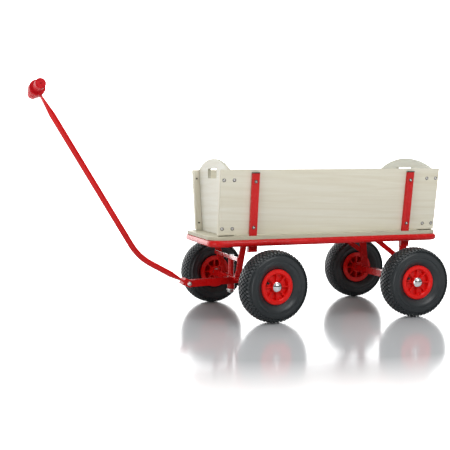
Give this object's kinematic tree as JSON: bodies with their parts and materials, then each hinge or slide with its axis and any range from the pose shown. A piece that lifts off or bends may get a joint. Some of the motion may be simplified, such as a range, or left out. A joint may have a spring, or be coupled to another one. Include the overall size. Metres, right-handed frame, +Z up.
{
  "type": "wagon",
  "caption": "Hand wagon with a plywood box on a tubular frame, pneumatic wheels, lift-out sides and a steered front axle pulled by a bent T-handle.",
  "frame": {"origin": "on the ground, midway between the front and rear axles on the centre plane", "axes": "+Z up, the wagon faces -X so the handle points to -X, +Y is the wagon's right side"},
  "size_m": [1.5364, 0.6126, 0.8329],
  "materials": {
    "red_steel": "glossy powder coat",
    "red_plastic": "glossy moulded plastic",
    "tyre_rubber": "matt rubber with block tread",
    "plywood": "clear-lacquered pale plywood",
    "zinc_steel": "zinc plated",
    "chrome": "polished",
    "black_plastic": "moulded",
    "nylon": "moulded"
  },
  "bodies": {
    "frame": {"rail_ring": "red_steel", "cross_members": "red_steel", "stake_sockets": "red_steel", "deck": "plywood", "deck_bolts": "zinc_steel", "rear_legs": "red_steel", "rear_braces": "red_steel", "rear_axle_beam": "red_steel", "rear_axle": "zinc_steel", "rear_axle_washers": "zinc_steel", "rear_hub_caps": "chrome", "head_struts": "red_steel", "head_bar": "red_steel", "head_plate": "red_steel", "head_tube": "red_steel", "kingpin": "zinc_steel", "kingpin_nut": "zinc_steel"},
    "front_axle_assembly": {"kingpin_sleeve": "red_steel", "turntable_washer": "nylon", "front_axle_beam": "red_steel", "front_axle": "zinc_steel", "front_axle_washers": "zinc_steel", "front_hub_caps": "chrome", "drawbar": "red_steel", "drawbar_gussets": "red_steel"},
    "handle": {"handle_tube": "red_steel", "handle_clevis": "red_steel", "handle_grip": "red_plastic", "handle_pivot_bolt": "zinc_steel", "handle_pivot_nut": "zinc_steel"},
    "wheel_front_left": {"tyre_front_left": "tyre_rubber", "rim_front_left": "red_plastic", "bushings_front_left": "nylon"},
    "wheel_front_right": {"tyre_front_right": "tyre_rubber", "rim_front_right": "red_plastic", "bushings_front_right": "nylon"},
    "wheel_rear_left": {"tyre_rear_left": "tyre_rubber", "rim_rear_left": "red_plastic", "bushings_rear_left": "nylon"},
    "wheel_rear_right": {"tyre_rear_right": "tyre_rubber", "rim_rear_right": "red_plastic", "bushings_rear_right": "nylon"},
    "side_left": {"side_board_left": "plywood", "side_fasteners_left": "zinc_steel", "stake_plugs_left": "black_plastic", "stake_front_left": "red_steel", "stake_rear_left": "red_steel", "battens_front_left": "plywood", "battens_rear_left": "plywood"},
    "side_right": {"side_board_right": "plywood", "side_fasteners_right": "zinc_steel", "stake_plugs_right": "black_plastic", "stake_front_right": "red_steel", "stake_rear_right": "red_steel", "battens_front_right": "plywood", "battens_rear_right": "plywood"},
    "end_front": {"end_board_front": "plywood"},
    "end_rear": {"end_board_rear": "plywood"}
  },
  "joints": [
    {"name": "steering", "type": "hinge", "parent": "frame", "child": "front_axle_assembly", "pos_m": [-0.34, 0, 0.1392], "axis": [0, 0, 1], "range_deg": [-54.9, 35.1]},
    {"name": "handle_lift", "type": "hinge", "parent": "front_axle_assembly", "child": "handle", "pos_m": [-0.51781, -0.03103, 0.12], "axis": [-0.1719, 0.9851, 0], "range_deg": [-50, 40]},
    {"name": "wheel_front_left_spin", "type": "hinge", "parent": "front_axle_assembly", "child": "wheel_front_left", "pos_m": [-0.25761, -0.2394, 0.13], "axis": [-0.1719, 0.9851, 0], "continuous": true},
    {"name": "wheel_front_right_spin", "type": "hinge", "parent": "front_axle_assembly", "child": "wheel_front_right", "pos_m": [-0.34358, 0.25315, 0.13], "axis": [-0.1719, 0.9851, 0], "continuous": true},
    {"name": "wheel_rear_left_spin", "type": "hinge", "parent": "frame", "child": "wheel_rear_left", "pos_m": [0.3, -0.25, 0.13], "axis": [0, 1, 0], "continuous": true},
    {"name": "wheel_rear_right_spin", "type": "hinge", "parent": "frame", "child": "wheel_rear_right", "pos_m": [0.3, 0.25, 0.13], "axis": [0, 1, 0], "continuous": true},
    {"name": "end_board_front_lift", "type": "slide", "parent": "frame", "child": "end_front", "axis": [-0.0157, 0, 0.9999], "range_m": [0, 0.24]},
    {"name": "end_board_rear_lift", "type": "slide", "parent": "frame", "child": "end_rear", "axis": [-0.0157, 0, 0.9999], "range_m": [0, 0.24]},
    {"name": "side_left_lift", "type": "slide", "parent": "frame", "child": "side_left", "axis": [-0.0155, -0.1668, 0.9859], "range_m": [0, 0.06]},
    {"name": "side_right_lift", "type": "slide", "parent": "frame", "child": "side_right", "axis": [-0.0155, 0.1668, 0.9859], "range_m": [0, 0.06]}
  ]
}
